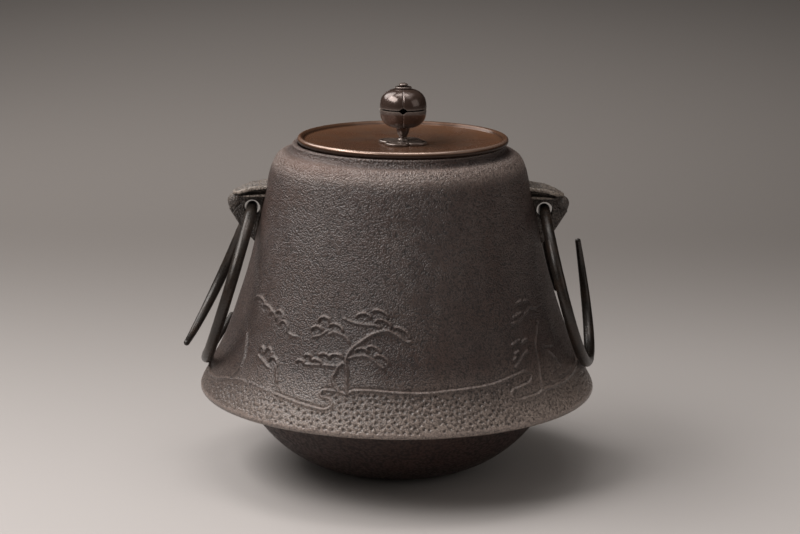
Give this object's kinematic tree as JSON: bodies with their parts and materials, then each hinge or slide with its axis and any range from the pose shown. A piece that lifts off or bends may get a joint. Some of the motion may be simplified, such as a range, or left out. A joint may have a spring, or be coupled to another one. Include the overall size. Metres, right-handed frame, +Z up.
{
  "type": "tea kettle",
  "caption": "Cast-iron tea kettle in the mountain form with a flared skirt, loose side rings and a dished bronze lid with a bell knob.",
  "frame": {"origin": "on the table, under the middle of the flat foot", "axes": "+Z up along the kettle's axis, +X through the right lug, -Y towards the viewer of the picture"},
  "size_m": [0.2542, 0.24, 0.2352],
  "materials": {
    "cast_iron_skin": "matt, finely grained, faintly rusty",
    "base_iron": "matt, sooty brown",
    "forged_iron": "satin, nearly black",
    "lid_bronze": "satin, dark red-brown patina",
    "knob_bronze": "satin, dark patina",
    "lacquer": "matt lacquer",
    "sound_iron": "matt, rusty"
  },
  "bodies": {
    "kettle": {"kettle_body": "cast_iron_skin", "base_bowl": "base_iron", "seam_seal": "lacquer", "lug_left": "cast_iron_skin", "lug_right": "cast_iron_skin", "sound_plates": "sound_iron", "sound_plate_pads": "lacquer"},
    "lid": {"lid_plate": "lid_bronze", "lid_collar": "lid_bronze", "knob_seat": "knob_bronze"},
    "knob": {"knob_stem": "knob_bronze", "bell_lower": "knob_bronze", "bell_upper": "knob_bronze", "knob_top_washer": "knob_bronze", "knob_pin": "knob_bronze", "rivet_washer": "knob_bronze"},
    "left_ring": {"ring_left": "forged_iron"},
    "right_ring": {"ring_right": "forged_iron"}
  },
  "joints": [
    {"name": "lid_lift", "type": "slide", "parent": "kettle", "child": "lid", "axis": [0, 0, 1], "range_m": [0, 0.06]},
    {"name": "knob_turn", "type": "hinge", "parent": "lid", "child": "knob", "pos_m": [0.0024, 0, 0.2], "axis": [0, 0, 1], "continuous": true},
    {"name": "left_ring_swing", "type": "hinge", "parent": "kettle", "child": "left_ring", "pos_m": [-0.08818, 0, 0.1592], "axis": [0, 1, 0], "range_deg": [0, 160]},
    {"name": "right_ring_swing", "type": "hinge", "parent": "kettle", "child": "right_ring", "pos_m": [0.08818, 0, 0.1592], "axis": [0, -1, 0], "range_deg": [0, 160]}
  ]
}
